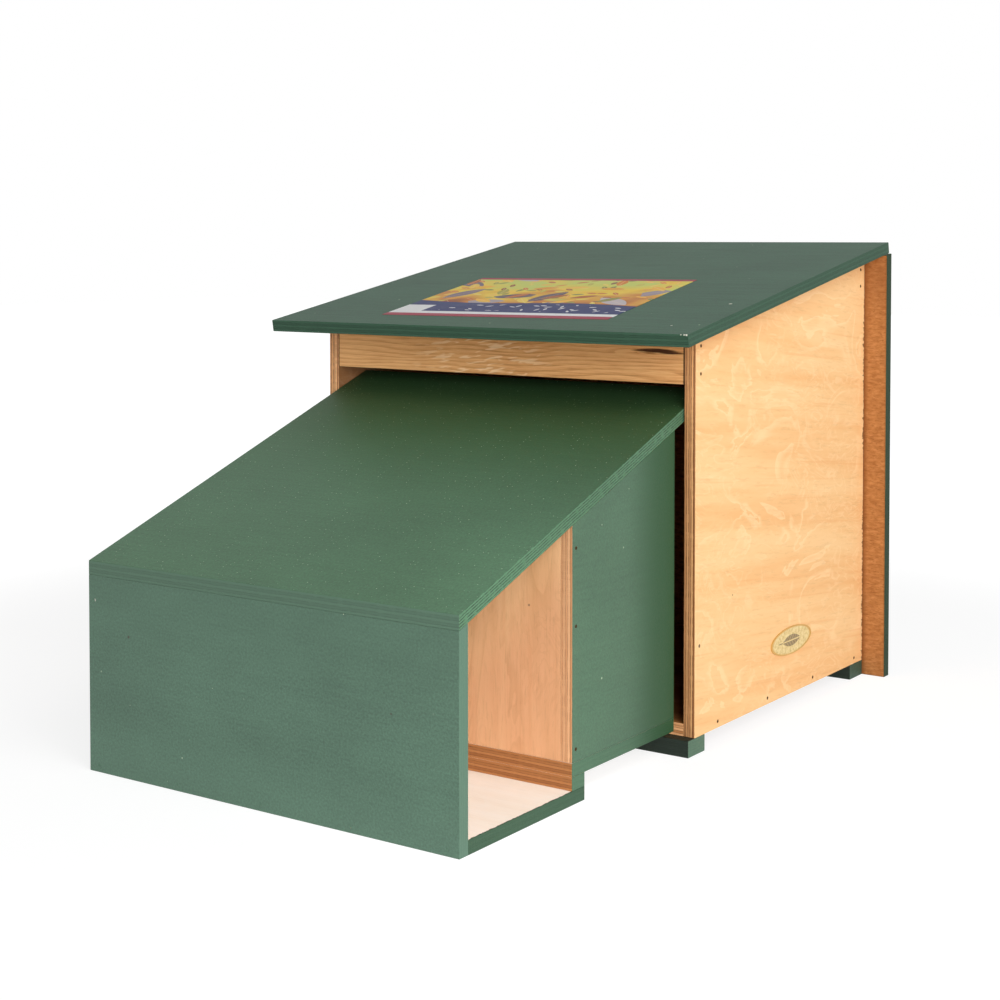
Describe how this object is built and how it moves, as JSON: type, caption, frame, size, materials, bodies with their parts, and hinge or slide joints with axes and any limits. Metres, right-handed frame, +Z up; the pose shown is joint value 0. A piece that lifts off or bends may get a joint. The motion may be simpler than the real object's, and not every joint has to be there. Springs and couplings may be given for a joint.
{
  "type": "hedgehog house",
  "caption": "Plywood hedgehog house with a sloping lift-off lid and a low, slope-roofed porch with a side entrance that draws out of the open front.",
  "frame": {"origin": "on the ground under the middle of the whole object", "axes": "+Z up, +Y to the back, +X to the side with the entrance"},
  "size_m": [0.492, 0.746, 0.4758],
  "materials": {
    "green_paint": "satin green paint on plywood",
    "bare_plywood": "bare birch-faced plywood",
    "pale_plywood": "bare pale plywood",
    "raw_softwood": "planed softwood",
    "printed_sheet": "printed sheet",
    "badge_plate": "varnished",
    "nail_steel": "dull dark steel"
  },
  "bodies": {
    "house": {"house_floor": "pale_plywood", "side_left": "bare_plywood", "side_right": "bare_plywood", "front_rail": "raw_softwood", "back_rail": "raw_softwood", "back_board": "green_paint", "front_foot": "green_paint", "back_foot": "green_paint", "side_badge": "badge_plate", "house_nails": "nail_steel"},
    "lid": {"lid": "green_paint", "lid_sheet": "printed_sheet"},
    "porch": {"porch_front": "green_paint", "porch_left": "green_paint", "porch_right": "green_paint", "porch_roof": "green_paint", "porch_floor": "pale_plywood", "corridor_floor": "pale_plywood", "floor_cleat": "raw_softwood", "partition": "bare_plywood", "porch_nails": "nail_steel"}
  },
  "joints": [
    {"name": "porch_slide", "type": "slide", "parent": "house", "child": "porch", "axis": [0, -1, 0], "range_m": [-0.0147, 0.36]},
    {"name": "lid_lift", "type": "slide", "parent": "house", "child": "lid", "axis": [0, 0, 1], "range_m": [0, 0.15]}
  ]
}
